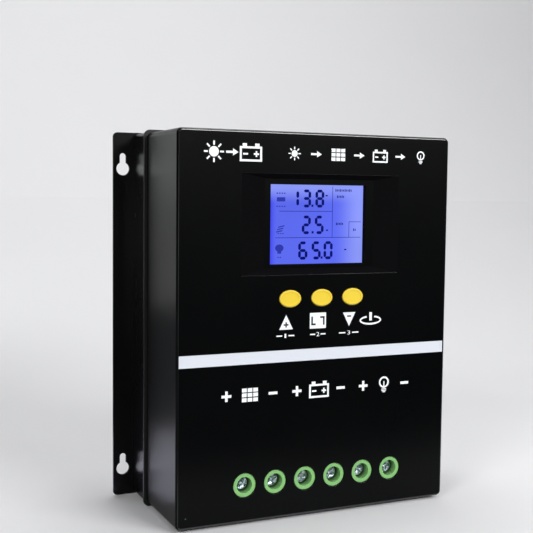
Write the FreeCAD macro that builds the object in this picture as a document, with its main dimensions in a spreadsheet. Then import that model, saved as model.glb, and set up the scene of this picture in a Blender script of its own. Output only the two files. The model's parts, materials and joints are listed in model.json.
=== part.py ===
import FreeCAD, Part
import os
import re
import Sketcher

# A wall-hung solar charge controller, in millimetres. X runs to the right as the front is seen, Y runs
# back into the wall and Z up. The origin is the middle of the four keyholes, on the wall. In the names
# below "back" and "front" are distances out from the wall, so a piece lies between y = -front and -back.

SIZES = {
    # front cover: a moulded shell, open towards the wall
    "cover_mid": 2.85,
    "cover_wide": 189,
    "cover_tall": 240,
    "cover_deep": 58,
    "cover_wall": 2.5,
    "overcut": 1,
    "cover_corner": 3.5,
    "cover_edge": 1.6,
    # trim frame between cover and case
    "rim_proud": 1.9,
    "rim_thick": 2,
    "rim_corner": 4,
    # folded sheet case and the flat plate welded to its back
    "case_wide": 189.6,
    "case_tall": 240.8,
    "case_front": 28.8,
    "case_corner": 2.6,
    "sheet_thick": 1.5,
    "plate_wide": 217.2,
    "plate_tall": 242.8,
    "plate_corner": 3,
    "keyhole_gap_wide": 204,
    "keyhole_gap_tall": 201,
    "keyhole_radius": 4.35,
    "keyhole_slot_radius": 2.1,
    "keyhole_rise": 8.1,
    "vent_wide": 3,
    "vent_back": 8,
    "vent_front": 19,
    "vent_pitch": 10,
    # fixing tabs of the cover and their countersunk screws
    "tab_wide": 16,
    "tab_thick": 4,
    "tab_back": 17,
    "tab_front": 45,
    "tab_x": 76,
    "cover_screw_front": 24,
    "cover_screw_radius": 1.5,
    "cover_screw_head": 2.7,
    "cover_screw_length": 6.5,
    # sunk display window in the cover
    "recess_x": 1.3,
    "recess_z": 66.1,
    "recess_wide": 109.8,
    "recess_tall": 62.4,
    "recess_deep": 3.2,
    "flat_x": 1.35,
    "flat_z": 66.45,
    "flat_wide": 76.3,
    "flat_tall": 55.2,
    "window_x": 0.35,
    "window_z": 65.97,
    "window_wide": 66.7,
    "window_tall": 49.45,
    "window_lip": 3.5,
    # display stack behind the window
    "glass_wide": 74.8,
    "glass_tall": 53.8,
    "glass_thick": 2.5,
    "backlight_thick": 4,
    "holder_wall": 2.6,
    "holder_floor": 2,
    "display_board_thick": 1.6,
    "display_board_wide": 112,
    "display_board_tall": 104,
    "display_board_z": 58,
    "boss_x": 50,
    "boss_gap": 95,
    "boss_radius": 3.2,
    "boss_bore": 1.2,
    "boss_screw_radius": 1.15,
    "boss_screw_head": 2.4,
    "boss_screw_head_thick": 1.8,
    "boss_screw_length": 8,
    # oval keys and the switches behind them
    "key_x": 1.6,
    "key_pitch": 22,
    "key_z": 20.25,
    "key_half_wide": 7.4,
    "key_half_tall": 5.3,
    "key_gap": 0.3,
    "key_proud": 0.5,
    "key_edge": 0.6,
    "key_dish_rim": 1.5,
    "key_dish_deep": 0.25,
    "key_flange": 1.9,
    "key_flange_thick": 1.6,
    "key_stem_radius": 2.6,
    "switch_wide": 6.2,
    "switch_thick": 3.6,
    "switch_bore": 1.75,
    "switch_bore_deep": 3,
    "plunger_radius": 1.7,
    "plunger_back": 1.9,
    "plunger_front": 6.4,
    # stripe film on the front
    "stripe_x": -0.2,
    "stripe_z": -15.35,
    "stripe_wide": 185.6,
    "stripe_tall": 7.4,
    "stripe_thick": 0.15,
    # screw terminals
    "terminal_x": -49.8,
    "terminal_pitch": 20.66,
    "terminal_z": -94.05,
    "terminal_hole": 7.65,
    "housing_wide": 19.6,
    "housing_low": -114.35,
    "housing_high": -82,
    "housing_front": 84,
    "collar_radius": 7.45,
    "collar_sunk": 0.8,
    "well_radius": 5.05,
    "web_back": 77,
    "web_front": 78.5,
    "web_bore": 3.3,
    "cavity_back": 48.5,
    "cavity_half_wide": 6.7,
    "cavity_half_tall": 4.95,
    "tunnel_wide": 10.4,
    "tunnel_back": 52.3,
    "tunnel_front": 62.7,
    "wire_hole": 6.5,
    "bar_back": 62.5,
    "bar_thick": 2.5,
    "bar_wide": 8.8,
    "bar_low": -98.5,
    "bar_high": -78.6,
    "bar_slot_gap": 0.15,
    "screw_radius": 3,
    "screw_tip": 65.4,
    "screw_head_radius": 4.5,
    "screw_head_thick": 4,
    "screw_head_gap": 0.1,
    "screw_cross_wide": 1.3,
    "screw_cross_long": 6.2,
    "screw_cross_deep": 2,
    "screw_slot_long": 7.4,
    "screw_head_edge": 0.7,
    "screw_first_turn": 35,
    "screw_next_turn": 28,
    "cage_back": 49.5,
    "cage_front": 69.5,
    "cage_floor": 3,
    "cage_roof": 4,
    "cage_half_wide": 6.5,
    "cage_half_open": 4.9,
    "cage_half_tall": 4.5,
    "thread_gap": 0.05,
    # main board, its posts and the power stage behind and on it
    "board_back": 34,
    "board_thick": 2,
    "board_wide": 176,
    "board_tall": 220,
    "board_z": 2.85,
    "post_x": 82,
    "post_gap": 100,
    "post_radius": 3.5,
    "post_bore": 1.55,
    "post_screw_radius": 1.5,
    "post_screw_head": 2.8,
    "post_screw_head_thick": 2.2,
    "post_screw_length": 9,
    "sink_wide": 140,
    "sink_low": -75,
    "sink_high": 95,
    "sink_base": 5,
    "fin_front": 25,
    "fin_thick": 2,
    "fin_pitch": 9,
    "fin_low": -42,
    "shelf_front": 20,
    "shelf_high": -50,
    "pad_thick": 0.5,
    "pad_tall": 22,
    "transistor_pitch": 20,
    "transistor_wide": 15.6,
    "transistor_tall": 20,
    "transistor_thick": 5,
    "lead_pitch": 5.45,
    "lead_thick": 0.8,
    "lead_reach": 4,
    "clamp_wide": 124,
    "clamp_tall": 7,
    "clamp_thick": 4,
    "clamp_screw_pitch": 40,
    "clamp_screw_length": 15,
    "coil_x": -52,
    "coil_z": -32,
    "coil_front": 46,
    "coil_radius": 17,
    "coil_core": 7,
    "coil_wire": 1.1,
    "coil_gap": 0.1,
    "can_x": 5,
    "can_pitch": 30,
    "can_z": -32,
    "can_radius": 12.5,
    "can_length": 31,
    "can_foot": 2.5,
    "can_groove": 1,
    "shunt_x": 20,
    "shunt_z": -66,
    "shunt_wide": 14,
    "shunt_tall": 4,
    "shunt_high": 8,
    "shunt_strip": 1.2,
    "chip_wide": 14,
    "chip_thick": 1.8,
    "chip_z": 62,
    "driver_wide": 8,
    "driver_z": 28,
    "driver_pitch": 36,
    "link_x": -30,
    "link_z": 12,
    "link_wide": 26,
    "link_tall": 5,
}
TERMINALS = 6
KEYS = {"up": 0, "set": 1, "down": 2}
VENTS = 12
FINS = 15
TRANSISTORS = 6
COIL_TURNS = 18
CANS = 3
TOUCHING = 0.01
FORWARD = FreeCAD.Rotation(FreeCAD.Vector(1, 0, 0), 90)
FRONT = "(cover_deep + rim_thick + case_front)"
COVER_BACK = "(rim_thick + case_front)"
WINDOW_BACK = f"({FRONT} - recess_deep - window_lip)"
DISPLAY_BOARD_FRONT = f"({WINDOW_BACK} - glass_thick - backlight_thick - holder_floor)"
BOARD_FRONT = "(board_back + board_thick)"

doc = FreeCAD.newDocument("ChargeController")
sheet = doc.addObject("Spreadsheet::Sheet", "Sizes")
for row, (alias, size) in enumerate(SIZES.items(), start=1):
    sheet.set(f"A{row}", alias)
    sheet.set(f"B{row}", str(size))
    sheet.setAlias(f"B{row}", alias)
doc.recompute()
finished = []


def bind(piece, path, formula):
    """Tie a property to a formula in which the sheet's names stand bare."""
    cells = re.sub("[a-z_]+", lambda word: "Sizes." * (word.group() in SIZES) + word.group(), formula)
    piece.setExpression(path, cells)


def place(piece, x, back, z):
    bind(piece, "Placement.Base.x", x)
    bind(piece, "Placement.Base.y", f"-({back})")
    bind(piece, "Placement.Base.z", z)
    return piece


def block(name, x, z, wide, tall, back, front):
    """A box centred on x and z, between two distances from the wall."""
    piece = doc.addObject("Part::Box", name)
    bind(piece, "Length", wide)
    bind(piece, "Width", f"{front} - ({back})")
    bind(piece, "Height", tall)
    return place(piece, f"{x} - ({wide}) / 2", front, f"{z} - ({tall}) / 2")


def slab(name, x, low, high, wide, back, front):
    """A box centred on x, between two heights and two distances from the wall."""
    return block(name, x, f"({low} + {high}) / 2", wide, f"{high} - ({low})", back, front)


def rod(name, x, z, radius, back, front):
    """A cylinder that points out from the wall."""
    piece = doc.addObject("Part::Cylinder", name)
    piece.Placement = FreeCAD.Placement(FreeCAD.Vector(), FORWARD)
    bind(piece, "Radius", radius)
    bind(piece, "Height", f"{front} - ({back})")
    return place(piece, x, back, z)


def upright(name, x, front, radius, low, high):
    """A cylinder that stands along Z."""
    piece = doc.addObject("Part::Cylinder", name)
    bind(piece, "Radius", radius)
    bind(piece, "Height", f"{high} - ({low})")
    return place(piece, x, front, low)


def oval(name, x, z, half_wide, half_tall, back, front):
    """An elliptical bar that points out from the wall."""
    outline = doc.addObject("Part::Ellipse", name + "_outline")
    outline.Placement = FreeCAD.Placement(FreeCAD.Vector(), FORWARD)
    bind(outline, "MajorRadius", half_wide)
    bind(outline, "MinorRadius", half_tall)
    place(outline, x, back, z)
    piece = doc.addObject("Part::Extrusion", name)
    piece.Base = outline
    piece.DirMode = "Custom"
    piece.Dir = FreeCAD.Vector(0, -1, 0)
    piece.Solid = True
    bind(piece, "LengthFwd", f"{front} - ({back})")
    return piece


def join(name, pieces):
    piece = doc.addObject("Part::MultiFuse", name)
    piece.Shapes = pieces
    return piece


def cut(name, base, tools):
    piece = doc.addObject("Part::Cut", name)
    piece.Base = base
    piece.Tool = tools[0] if len(tools) == 1 else join(name + "_tools", tools)
    return piece


def group(name, pieces):
    piece = doc.addObject("Part::Compound", name)
    piece.Links = pieces
    return piece


def finish(piece, label):
    """Name a finished sub-part; the label also names its file."""
    piece.Label = label
    finished.append(piece)
    return piece


def drawing_on(body, name, front):
    """A sketch parallel to the wall, at a distance from it."""
    plane = [feature for feature in body.Origin.OriginFeatures if feature.Role == "XZ_Plane"][0]
    drawing = body.newObject("Sketcher::SketchObject", name)
    drawing.AttachmentSupport = [(plane, "")]
    drawing.MapMode = "FlatFace"
    bind(drawing, "AttachmentOffset.Base.z", front)
    return drawing


def measure(drawing, kind, *points, formula):
    index = drawing.addConstraint(Sketcher.Constraint(kind, *points, 1.0))
    bind(drawing, f"Constraints[{index}]", formula)


def rectangle(drawing, x, z, wide, tall):
    corners = [FreeCAD.Vector(x_side, z_side, 0) for x_side, z_side in ((0, 0), (1, 0), (1, 1), (0, 1))]
    lines = [
        drawing.addGeometry(Part.LineSegment(corners[side], corners[(side + 1) % 4]), False)
        for side in range(4)
    ]
    for side, line in enumerate(lines):
        drawing.addConstraint(Sketcher.Constraint("Coincident", line, 2, lines[(side + 1) % 4], 1))
        drawing.addConstraint(Sketcher.Constraint("Vertical" if side % 2 else "Horizontal", line))
    measure(drawing, "DistanceX", lines[0], 1, lines[0], 2, formula=wide)
    measure(drawing, "DistanceY", lines[1], 1, lines[1], 2, formula=tall)
    measure(drawing, "DistanceX", -1, 1, lines[0], 1, formula=f"{x} - ({wide}) / 2")
    measure(drawing, "DistanceY", -1, 1, lines[0], 1, formula=f"{z} - ({tall}) / 2")


def circle(drawing, x, z, radius):
    line = drawing.addGeometry(Part.Circle(FreeCAD.Vector(), FreeCAD.Vector(0, 0, 1), 1), False)
    measure(drawing, "Radius", line, formula=radius)
    measure(drawing, "DistanceX", -1, 1, line, 3, formula=x)
    measure(drawing, "DistanceY", -1, 1, line, 3, formula=z)


def pad(body, drawing, name, thick):
    feature = body.newObject("PartDesign::Pad", name)
    feature.Profile = drawing
    bind(feature, "Length", thick)
    drawing.Visibility = False
    return feature


def pocket(body, drawing, name, deep, outwards=False):
    """Cut from the sketch towards the wall, or outwards from it."""
    feature = body.newObject("PartDesign::Pocket", name)
    feature.Profile = drawing
    feature.Reversed = outwards
    bind(feature, "Length", deep)
    return feature


def loft(body, kind, name, first, second):
    feature = body.newObject(kind, name)
    feature.Profile = first
    feature.Sections = [second]
    feature.Ruled = True
    return feature


def round_off(body, base, name, radius, wanted):
    """Round the edges of a feature that the test picks out."""
    doc.recompute()
    picked = [f"Edge{index}" for index, edge in enumerate(base.Shape.Edges, start=1) if wanted(edge)]
    feature = body.newObject("PartDesign::Fillet", name)
    feature.Base = (base, picked)
    bind(feature, "Radius", radius)
    return feature


def runs_outwards(edge):
    """True for a straight edge square to the wall."""
    box = edge.BoundBox
    return box.XLength < TOUCHING and box.ZLength < TOUCHING < box.YLength


def in_front_face(edge):
    front = SIZES["cover_deep"] + SIZES["rim_thick"] + SIZES["case_front"]
    return abs(edge.BoundBox.YMin + front) < TOUCHING and abs(edge.BoundBox.YMax + front) < TOUCHING


def rounded_rim(piece, radius):
    """Round the outermost edge of a rod or oval bar, the one furthest from the wall."""
    doc.recompute()
    front = piece.Shape.BoundBox.YMin
    rim = [
        (number, SIZES[radius], SIZES[radius])
        for number, edge in enumerate(piece.Shape.Edges, start=1)
        if abs(edge.BoundBox.YMax - front) < TOUCHING
    ]
    rounded = doc.addObject("Part::Fillet", piece.Name + "_rounded")
    rounded.Base = piece
    rounded.Edges = rim
    return rounded


def terminal_x(index):
    return f"terminal_x + {index} * terminal_pitch"


def key_x(index):
    return f"key_x + {index - 1} * key_pitch"


def boss_places():
    return [
        (f"{side} * boss_x", f"display_board_z + {level} * boss_gap / 2")
        for side in (-1, 1)
        for level in (-1, 1)
    ]


def post_places():
    return [
        (f"{side} * post_x", f"board_z + {level} * post_gap")
        for side in (-1, 1)
        for level in (-1, 0, 1)
    ]


def make_cover():
    """The moulded front: shell, sunk window, key and terminal holes, wire holes, tabs and bosses."""
    body = doc.addObject("PartDesign::Body", "CoverShell")
    outline = drawing_on(body, "CoverOutline", COVER_BACK)
    rectangle(outline, "0", "cover_mid", "cover_wide", "cover_tall")
    shell = pad(body, outline, "CoverBlock", "cover_deep")
    shell = round_off(body, shell, "CoverCorners", "cover_corner", runs_outwards)
    round_off(body, shell, "CoverFrontEdge", "cover_edge", in_front_face)
    hollow = drawing_on(body, "HollowOutline", COVER_BACK)
    rectangle(hollow, "0", "cover_mid", "cover_wide - 2 * cover_wall", "cover_tall - 2 * cover_wall")
    pocket(body, hollow, "Hollow", "cover_deep - cover_wall", outwards=True)
    backing_front = drawing_on(body, "BackingFront", f"{FRONT} - cover_wall")
    rectangle(backing_front, "recess_x", "recess_z", "recess_wide + 2 * cover_wall",
              "recess_tall + 2 * cover_wall")
    backing_back = drawing_on(body, "BackingBack", WINDOW_BACK)
    rectangle(backing_back, "flat_x", "flat_z", "flat_wide + 2 * cover_wall", "flat_tall + 2 * cover_wall")
    loft(body, "PartDesign::AdditiveLoft", "RecessBacking", backing_front, backing_back)
    recess_front = drawing_on(body, "RecessFront", FRONT)
    rectangle(recess_front, "recess_x", "recess_z", "recess_wide", "recess_tall")
    recess_back = drawing_on(body, "RecessBack", f"{FRONT} - recess_deep")
    rectangle(recess_back, "flat_x", "flat_z", "flat_wide", "flat_tall")
    loft(body, "PartDesign::SubtractiveLoft", "Recess", recess_front, recess_back)
    window = drawing_on(body, "WindowOutline", FRONT)
    rectangle(window, "window_x", "window_z", "window_wide", "window_tall")
    pocket(body, window, "Window", "recess_deep + 2 * window_lip")
    holes = drawing_on(body, "TerminalHoleOutlines", FRONT)
    for index in range(TERMINALS):
        circle(holes, terminal_x(index), "terminal_z", "terminal_hole")
    pocket(body, holes, "TerminalHoles", "2 * cover_wall")

    top = "(cover_mid + cover_tall / 2 - cover_wall)"
    bottom = "(cover_mid - cover_tall / 2 + cover_wall)"
    added, removed = [], []
    for side, x in (("left", "-tab_x"), ("right", "tab_x")):
        heights = {"top": (f"{top} - tab_thick", top), "bottom": (bottom, f"{bottom} + tab_thick")}
        for level, (low, high) in heights.items():
            added.append(slab(f"tab_{level}_{side}", x, low, high, "tab_wide", "tab_back", "tab_front"))
        removed.append(
            upright(f"tab_bore_{side}", x, "cover_screw_front", "cover_screw_radius", bottom, top)
        )
    for index, (x, z) in enumerate(boss_places()):
        added.append(
            rod(f"boss_{index}", x, z, "boss_radius", DISPLAY_BOARD_FRONT, f"{FRONT} - cover_wall")
        )
        removed.append(
            rod(f"boss_bore_{index}", x, z, "boss_bore", DISPLAY_BOARD_FRONT, f"{FRONT} - 2 * cover_wall")
        )
    for name, index in KEYS.items():
        removed.append(
            oval(f"key_hole_{name}", key_x(index), "key_z", "key_half_wide + key_gap",
                 "key_half_tall + key_gap", f"{FRONT} - 2 * cover_wall", f"{FRONT} + cover_wall")
        )
    for index in range(TERMINALS):
        removed.append(
            upright(f"wire_hole_{index}", terminal_x(index), "(tunnel_back + tunnel_front) / 2",
                    "wire_hole", f"{bottom} - 2 * cover_wall", f"{bottom} + cover_wall")
        )
    return finish(cut("Cover", join("CoverSolids", [body] + added), removed), "front_cover")


def make_rim():
    body = doc.addObject("PartDesign::Body", "Rim")
    outline = drawing_on(body, "RimOutline", "case_front")
    rectangle(outline, "0", "cover_mid", "cover_wide + 2 * rim_proud", "cover_tall + 2 * rim_proud")
    ring = pad(body, outline, "RimPad", "rim_thick")
    round_off(body, ring, "RimCorners", "rim_corner", runs_outwards)
    opening = drawing_on(body, "RimOpeningOutline", "case_front")
    rectangle(opening, "0", "cover_mid", "cover_wide - 2 * cover_wall", "cover_tall - 2 * cover_wall")
    pocket(body, opening, "RimOpening", "rim_thick", outwards=True)
    return finish(body, "trim_frame")


def make_case():
    """The folded sheet case, with vents through its top and bottom and countersinks for four screws."""
    body = doc.addObject("PartDesign::Body", "CaseTray")
    outline = drawing_on(body, "CaseOutline", "sheet_thick")
    rectangle(outline, "0", "cover_mid", "case_wide", "case_tall")
    tray = pad(body, outline, "CaseBlock", "case_front - sheet_thick")
    round_off(body, tray, "CaseCorners", "case_corner", runs_outwards)
    hollow = drawing_on(body, "CaseHollowOutline", "2 * sheet_thick")
    rectangle(hollow, "0", "cover_mid", "case_wide - 2 * sheet_thick", "case_tall - 2 * sheet_thick")
    pocket(body, hollow, "CaseHollow", "case_front - 2 * sheet_thick", outwards=True)
    removed = [
        block(f"vent_{index}", f"{index - (VENTS - 1) / 2} * vent_pitch", "cover_mid", "vent_wide",
              "case_tall + 2 * sheet_thick", "vent_back", "vent_front")
        for index in range(VENTS)
    ]
    removed += cover_screw_shapes("countersink", "0")
    return finish(cut("Case", body, removed), "rear_case")


def cover_screw_shapes(name, shorter):
    """Four countersunk screw shapes, pointing into the case from its top and bottom."""
    shapes = []
    for side, x in (("left", "-tab_x"), ("right", "tab_x")):
        for level, up in (("bottom", 1), ("top", -1)):
            edge = f"(cover_mid - {up} * case_tall / 2)"
            cone = doc.addObject("Part::Cone", f"{name}_head_{level}_{side}")
            bind(cone, "Radius1", "cover_screw_head")
            bind(cone, "Radius2", "cover_screw_radius")
            bind(cone, "Height", "sheet_thick")
            shank = doc.addObject("Part::Cylinder", f"{name}_shank_{level}_{side}")
            bind(shank, "Radius", "cover_screw_radius")
            bind(shank, "Height", f"cover_screw_length - {shorter}")
            for part in (cone, shank):
                if up < 0:
                    part.Placement = FreeCAD.Placement(
                        FreeCAD.Vector(), FreeCAD.Rotation(FreeCAD.Vector(1, 0, 0), 180)
                    )
                place(part, x, "cover_screw_front", edge)
            shapes.append(join(f"{name}_{level}_{side}", [cone, shank]))
    return shapes


def make_cover_screws():
    finish(group("CoverScrews", cover_screw_shapes("cover_screw", "0.5 * sheet_thick")), "cover_screws")


def make_wall_plate():
    """The flat plate that hangs on four wall screws: a round entry with a narrow seat above it at each."""
    body = doc.addObject("PartDesign::Body", "WallPlateSheet")
    outline = drawing_on(body, "PlateOutline", "0")
    rectangle(outline, "0", "cover_mid", "plate_wide", "plate_tall")
    sheet_metal = pad(body, outline, "PlatePad", "sheet_thick")
    round_off(body, sheet_metal, "PlateCorners", "plate_corner", runs_outwards)
    removed = []
    for side in (-1, 1):
        for level in (-1, 1):
            name = f"keyhole_{side + 1}_{level + 1}"
            x, z = f"{side} * keyhole_gap_wide / 2", f"{level} * keyhole_gap_tall / 2"
            seat = f"{z} + keyhole_rise"
            through = "-sheet_thick", "2 * sheet_thick"
            removed.append(rod(name, x, z, "keyhole_radius", *through))
            removed.append(rod(name + "_seat", x, seat, "keyhole_slot_radius", *through))
            removed.append(slab(name + "_neck", x, z, seat, "2 * keyhole_slot_radius", *through))
    return finish(cut("WallPlate", body, removed), "wall_plate")


def make_stripe():
    finish(
        block("Stripe", "stripe_x", "stripe_z", "stripe_wide", "stripe_tall", FRONT,
              f"({FRONT} + stripe_thick)"),
        "stripe_film",
    )


def make_display():
    """The glass, its light block, the holder tray, the board they stand on and its fixings."""
    glass_back = f"({WINDOW_BACK} - glass_thick)"
    light_back = f"({glass_back} - backlight_thick)"
    finish(
        block("Glass", "window_x", "window_z", "glass_wide", "glass_tall", glass_back, WINDOW_BACK),
        "display_glass",
    )
    finish(
        block("Backlight", "window_x", "window_z", "glass_wide", "glass_tall", light_back, glass_back),
        "display_backlight",
    )
    tray = block("HolderBlock", "window_x", "window_z", "glass_wide + 2 * holder_wall",
                 "glass_tall + 2 * holder_wall", DISPLAY_BOARD_FRONT, WINDOW_BACK)
    room = block("HolderRoom", "window_x", "window_z", "glass_wide", "glass_tall", light_back, FRONT)
    finish(cut("Holder", tray, [room]), "display_holder")
    board_back = f"({DISPLAY_BOARD_FRONT} - display_board_thick)"
    board = block("DisplayBoardBlank", "0", "display_board_z", "display_board_wide", "display_board_tall",
                  board_back, DISPLAY_BOARD_FRONT)
    bores, screws = [], []
    for index, (x, z) in enumerate(boss_places()):
        bores.append(rod(f"display_bore_{index}", x, z, "boss_bore", f"({board_back} - overcut)", FRONT))
        head_back = f"({board_back} - boss_screw_head_thick)"
        head = rod(f"display_screw_head_{index}", x, z, "boss_screw_head", head_back, board_back)
        shank = rod(f"display_screw_shank_{index}", x, z, "boss_screw_radius", head_back,
                    f"({board_back} + boss_screw_length)")
        screws.append(join(f"display_screw_{index}", [head, shank]))
    finish(cut("DisplayBoard", board, bores), "display_board")
    finish(group("DisplayScrews", screws), "display_board_screws")
    finish(
        block("Link", "link_x", "link_z", "link_wide", "link_tall", BOARD_FRONT, board_back), "board_link"
    )


def make_keys():
    """Three oval caps with a retaining flange and stem, each pressing the plunger of a small switch."""
    switches = []
    for name, index in KEYS.items():
        x = key_x(index)
        front = f"({FRONT} + key_proud)"
        flange_front = f"({FRONT} - cover_wall - key_gap)"
        flange_back = f"({flange_front} - key_flange_thick)"
        plunger_front = f"({DISPLAY_BOARD_FRONT} + plunger_front)"
        crown = oval(f"key_crown_{name}", x, "key_z", "key_half_wide", "key_half_tall", flange_front, front)
        rounded = rounded_rim(crown, "key_edge")
        flange = oval(f"key_flange_{name}", x, "key_z", "key_half_wide + key_flange",
                      "key_half_tall + key_flange", flange_back, flange_front)
        stem = rod(f"key_stem_{name}", x, "key_z", "key_stem_radius", plunger_front, flange_back)
        dish = oval(f"key_dish_{name}", x, "key_z", "key_half_wide - key_dish_rim",
                    "key_half_tall - key_dish_rim", f"({front} - key_dish_deep)", f"({front} + overcut)")
        cap = join(f"key_solid_{name}", [rounded, flange, stem])
        finish(cut(f"Key_{name}", cap, [dish]), f"key_{name}")
        plunger_back = f"({DISPLAY_BOARD_FRONT} + plunger_back)"
        finish(
            rod(f"Plunger_{name}", x, "key_z", "plunger_radius", plunger_back, plunger_front),
            f"switch_plunger_{name}",
        )
        switch_front = f"({DISPLAY_BOARD_FRONT} + switch_thick)"
        switch = block(f"switch_block_{name}", x, "key_z", "switch_wide", "switch_wide",
                       DISPLAY_BOARD_FRONT, switch_front)
        bore = rod(f"switch_bore_{name}", x, "key_z", "switch_bore", f"({switch_front} - switch_bore_deep)",
                   FRONT)
        switches.append(cut(f"switch_{name}", switch, [bore]))
    finish(group("Switches", switches), "key_switches")


def make_terminal(index):
    """One green screw terminal: housing with a collar, fixed bar, clamp screw and rising cage."""
    x, z, number = terminal_x(index), "terminal_z", index + 1
    collar_front = f"({FRONT} - collar_sunk)"
    body = slab(f"housing_block_{number}", x, "housing_low", "housing_high", "housing_wide", BOARD_FRONT,
                "housing_front")
    collar = rod(f"housing_collar_{number}", x, z, "collar_radius", "web_front", collar_front)
    bar_front = "(bar_back + bar_thick)"
    removed = [
        rod(f"housing_well_{number}", x, z, "well_radius", "web_front", FRONT),
        rod(f"housing_web_bore_{number}", x, z, "web_bore", "cavity_back", FRONT),
        block(f"housing_cavity_{number}", x, z, "2 * cavity_half_wide", "2 * cavity_half_tall",
              "cavity_back", "web_back"),
        slab(f"housing_tunnel_{number}", x, "(housing_low - overcut)", z, "tunnel_wide", "tunnel_back",
             "tunnel_front"),
        slab(f"housing_bar_slot_{number}", x, z, "(housing_high + overcut)", "bar_wide + 2 * bar_slot_gap",
             "bar_back - bar_slot_gap", f"({bar_front} + bar_slot_gap)"),
    ]
    housing = cut(f"Housing_{number}", join(f"housing_solid_{number}", [body, collar]), removed)
    finish(housing, f"terminal_housing_{number}")

    head_back = "(web_front + screw_head_gap)"
    head_front = f"({head_back} + screw_head_thick)"
    cross_back = f"({head_front} - screw_cross_deep)"
    head = rod(f"screw_head_{number}", x, z, "screw_head_radius", head_back, head_front)
    shank = rod(f"screw_shank_{number}", x, z, "screw_radius", "screw_tip", head_front)
    cross = [
        block(f"screw_slot_{number}", x, z, "screw_slot_long", "screw_cross_wide", cross_back, FRONT),
        block(f"screw_cross_{number}", x, z, "screw_cross_wide", "screw_cross_long", cross_back, FRONT),
    ]
    solid = join(f"screw_solid_{number}", [rounded_rim(head, "screw_head_edge"), shank])
    screw = cut(f"Screw_{number}", solid, cross)
    turned = SIZES["screw_first_turn"] + index * SIZES["screw_next_turn"]
    screw.Placement = FreeCAD.Placement(
        FreeCAD.Vector(),
        FreeCAD.Rotation(FreeCAD.Vector(0, 1, 0), turned),
        FreeCAD.Vector(SIZES["terminal_x"] + index * SIZES["terminal_pitch"], 0, SIZES["terminal_z"]),
    )
    finish(screw, f"terminal_screw_{number}")

    ring = block(f"cage_block_{number}", x, z, "2 * cage_half_wide", "2 * cage_half_tall", "cage_back",
                 "cage_front")
    mouth = block(f"cage_mouth_{number}", x, z, "2 * cage_half_open", "4 * cage_half_tall",
                  "(cage_back + cage_floor)", "(cage_front - cage_roof)")
    thread = rod(f"cage_thread_{number}", x, z, "screw_radius + thread_gap",
                 "(cage_front - cage_roof - overcut)", FRONT)
    finish(cut(f"Cage_{number}", ring, [mouth, thread]), f"terminal_cage_{number}")

    blade = slab(f"bar_blade_{number}", x, "bar_low", "bar_high", "bar_wide", "bar_back", bar_front)
    leg = slab(f"bar_leg_{number}", x, "(bar_high - bar_thick)", "bar_high", "bar_wide", BOARD_FRONT,
               bar_front)
    return join(f"bar_{number}", [blade, leg])


def make_main_board():
    board = block("MainBoardBlank", "0", "board_z", "board_wide", "board_tall", "board_back", BOARD_FRONT)
    bores, posts, screws = [], [], []
    for index, (x, z) in enumerate(post_places()):
        bores.append(rod(f"board_bore_{index}", x, z, "post_bore", "(board_back - overcut)", FRONT))
        post = rod(f"post_solid_{index}", x, z, "post_radius", "2 * sheet_thick", "board_back")
        bore = rod(f"post_bore_{index}", x, z, "post_bore", "(board_back - post_screw_length)", FRONT)
        posts.append(cut(f"post_{index}", post, [bore]))
        head = rod(f"board_screw_head_{index}", x, z, "post_screw_head", BOARD_FRONT,
                   f"({BOARD_FRONT} + post_screw_head_thick)")
        shank = rod(f"board_screw_shank_{index}", x, z, "post_screw_radius",
                    f"({BOARD_FRONT} - post_screw_length)", BOARD_FRONT)
        screws.append(join(f"board_screw_{index}", [head, shank]))
    finish(cut("MainBoard", board, bores), "main_board")
    finish(group("Posts", posts), "board_posts")
    finish(group("BoardScrews", screws), "board_screws")


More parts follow.
